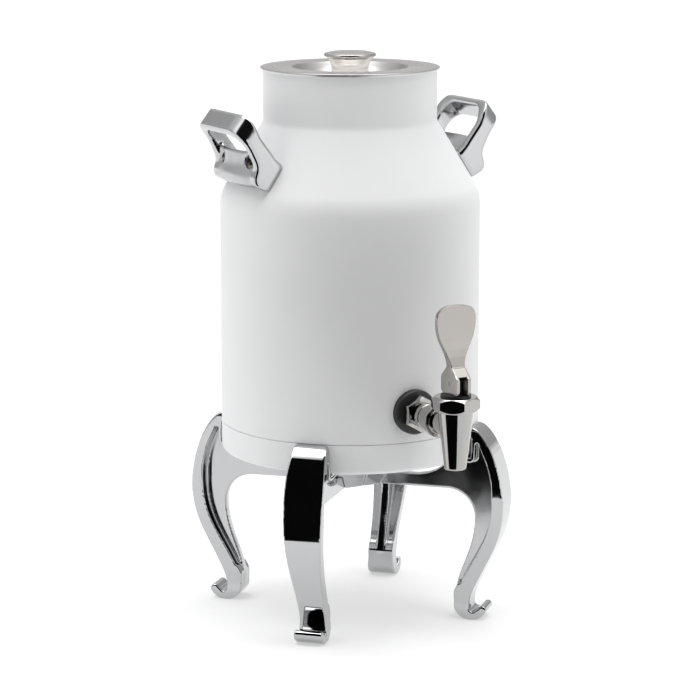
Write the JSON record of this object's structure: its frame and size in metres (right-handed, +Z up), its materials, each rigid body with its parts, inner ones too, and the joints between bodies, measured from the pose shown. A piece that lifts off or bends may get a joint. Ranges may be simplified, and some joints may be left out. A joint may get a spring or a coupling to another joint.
{
  "type": "beverage urn",
  "caption": "Insulated beverage urn: matte white can body with lift-off lid and two shoulder handles, on a chrome stand with scrolled legs, with a lever-handled drip tap near the base",
  "frame": {"origin": "at table height in the middle of the space the whole urn takes up; the urn's own vertical axis is 39.6 mm behind it, towards +Y", "axes": "+Z up along the urn's axis; the tap points along -Y; the two handles stand out along +X and -X; the legs lie on the diagonals"},
  "size_m": [0.2298, 0.2792, 0.4385],
  "materials": {
    "chrome_casting": "bright chrome plate over a smooth casting",
    "satin_plate": "turned satin stainless sheet",
    "white_coat": "matte white powder coat with a fine texture",
    "liner_steel": "satin deep-drawn stainless",
    "satin_steel": "finely turned satin stainless",
    "black_rubber": "smooth moulded black rubber",
    "white_silicone": "smooth translucent white silicone",
    "foam_pad": "firm foamed pad",
    "tap_lever_steel": "softly polished stainless casting",
    "tap_steel": "polished stainless",
    "fixing_steel": "plain stainless screws"
  },
  "bodies": {
    "stand": {"leg_front_left": "chrome_casting", "leg_front_right": "chrome_casting", "leg_rear_left": "chrome_casting", "leg_rear_right": "chrome_casting", "stand_hub": "chrome_casting", "hub_plate": "satin_plate", "hub_screws": "fixing_steel"},
    "urn": {"outer_shell": "white_coat", "base_pan": "white_coat", "inner_liner": "liner_steel", "liner_pad": "foam_pad", "handle_left": "chrome_casting", "handle_right": "chrome_casting", "handle_screws": "fixing_steel", "handle_nuts": "fixing_steel", "outer_gasket": "black_rubber", "outer_nut": "tap_steel", "spacer_sleeve": "black_rubber", "inner_gasket": "black_rubber", "inner_nut": "tap_steel", "tap_shank": "tap_steel", "tap_body": "tap_steel", "bonnet_seal": "black_rubber", "tap_bonnet": "tap_steel", "thrust_washer": "black_rubber", "valve_spring": "tap_steel"},
    "stem": {"valve_stem": "tap_steel", "seat_cup": "white_silicone"},
    "lever": {"tap_lever": "tap_lever_steel", "lever_pin": "tap_steel"},
    "lid": {"lid_top": "satin_steel", "lid_pan": "liner_steel", "lid_seal": "black_rubber", "lid_knob": "satin_steel", "knob_screw": "fixing_steel"}
  },
  "joints": [
    {"name": "urn_lift", "type": "slide", "parent": "stand", "child": "urn", "axis": [0, 0, 1], "range_m": [0, 0.06]},
    {"name": "lid_lift", "type": "slide", "parent": "urn", "child": "lid", "axis": [0, 0, 1], "range_m": [0, 0.06]},
    {"name": "stem_lift", "type": "slide", "parent": "urn", "child": "stem", "axis": [0, 0, 1], "range_m": [0, 0.00327], "deforming": ["valve_spring"]},
    {"name": "lever_tilt", "type": "hinge", "parent": "stem", "child": "lever", "pos_m": [0, -0.1214, 0.2098], "axis": [1, 0, 0], "range_deg": [0, 25], "stiffness_Nm_per_rad": 0.35, "springref_deg": -20.05}
  ],
  "couplings": [
    {"joint": "lever_tilt", "follows": "stem_lift", "rad_per_m": 133.33}
  ]
}
